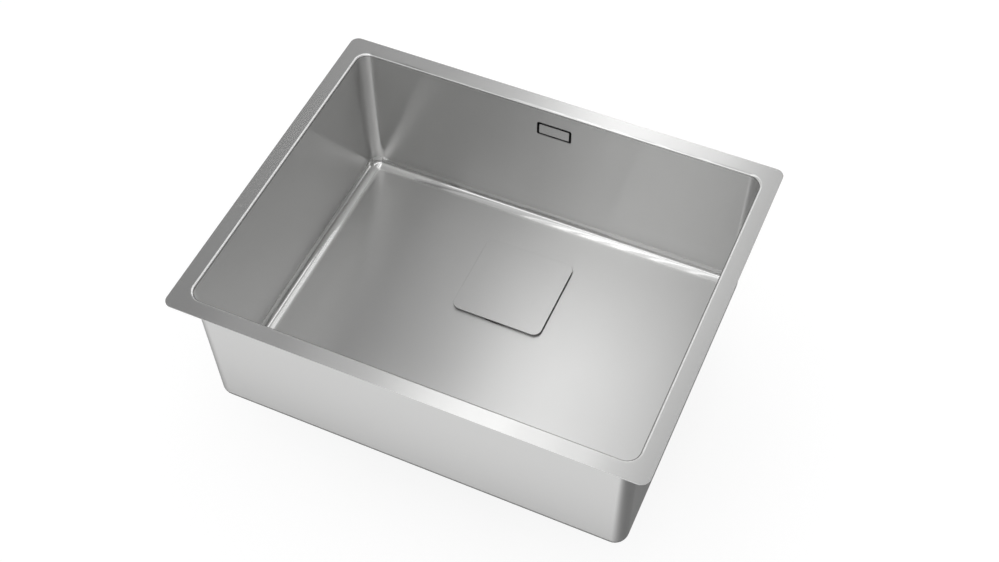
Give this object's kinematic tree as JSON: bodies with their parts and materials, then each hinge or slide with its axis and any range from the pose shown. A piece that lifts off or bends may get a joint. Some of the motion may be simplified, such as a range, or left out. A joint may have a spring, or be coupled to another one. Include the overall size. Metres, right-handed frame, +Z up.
{
  "type": "undermount kitchen sink",
  "caption": "Undermount kitchen sink: pressed steel bowl with a flat rim, square cover plate over a lift-out basket strainer, and an overflow piped to the waste.",
  "frame": {"origin": "centre of the bowl's mouth, in the plane of the rim's top face, which meets the worktop's underside", "axes": "+Z up out of the bowl, +X to the user's right along the long side, +Y towards the wall with the overflow"},
  "size_m": [0.54, 0.4552, 0.2793],
  "materials": {
    "bowl_steel": "fine satin, brushed along the length",
    "cover_steel": "fine satin, brushed one way",
    "overflow_steel": "fine satin",
    "waste_steel": "bright pressed steel",
    "fastener_steel": "plain bright steel",
    "insert_brass": "turned",
    "seal_rubber": "matt",
    "pad_rubber": "matt, lightly grained",
    "foot_plastic": "matt",
    "waste_plastic": "moulded, satin",
    "housing_plastic": "moulded, satin",
    "nut_plastic": "moulded, ribbed"
  },
  "bodies": {
    "root": {"bowl": "bowl_steel", "strainer_cup": "waste_steel", "cup_gasket": "seal_rubber", "body_gasket": "seal_rubber", "waste_body": "waste_plastic", "waste_spigot": "waste_plastic", "waste_outlet": "waste_plastic", "waste_bridge": "waste_plastic", "clamp_screw": "fastener_steel", "clamp_insert": "insert_brass", "overflow_plate": "overflow_steel", "overflow_gasket": "seal_rubber", "overflow_housing": "housing_plastic", "overflow_studs": "fastener_steel", "overflow_washers": "fastener_steel", "overflow_nuts": "fastener_steel", "overflow_pipe": "waste_plastic", "upper_ring_nut": "nut_plastic", "upper_seal_ring": "seal_rubber", "lower_ring_nut": "nut_plastic", "lower_seal_ring": "seal_rubber", "sound_pad_front": "pad_rubber", "sound_pad_left": "pad_rubber", "sound_pad_right": "pad_rubber"},
    "basket": {"basket": "waste_steel", "basket_seal": "seal_rubber", "seal_retainer": "waste_steel", "basket_stem": "waste_steel", "basket_knob": "waste_steel"},
    "cover": {"cover_plate": "cover_steel", "cover_feet": "foot_plastic"}
  },
  "joints": [
    {"name": "basket_lift", "type": "slide", "parent": "root", "child": "basket", "axis": [0, 0, 1], "range_m": [0, 0.24]},
    {"name": "cover_lift", "type": "slide", "parent": "basket", "child": "cover", "axis": [0, 0, 1], "range_m": [0, 0.22]}
  ]
}
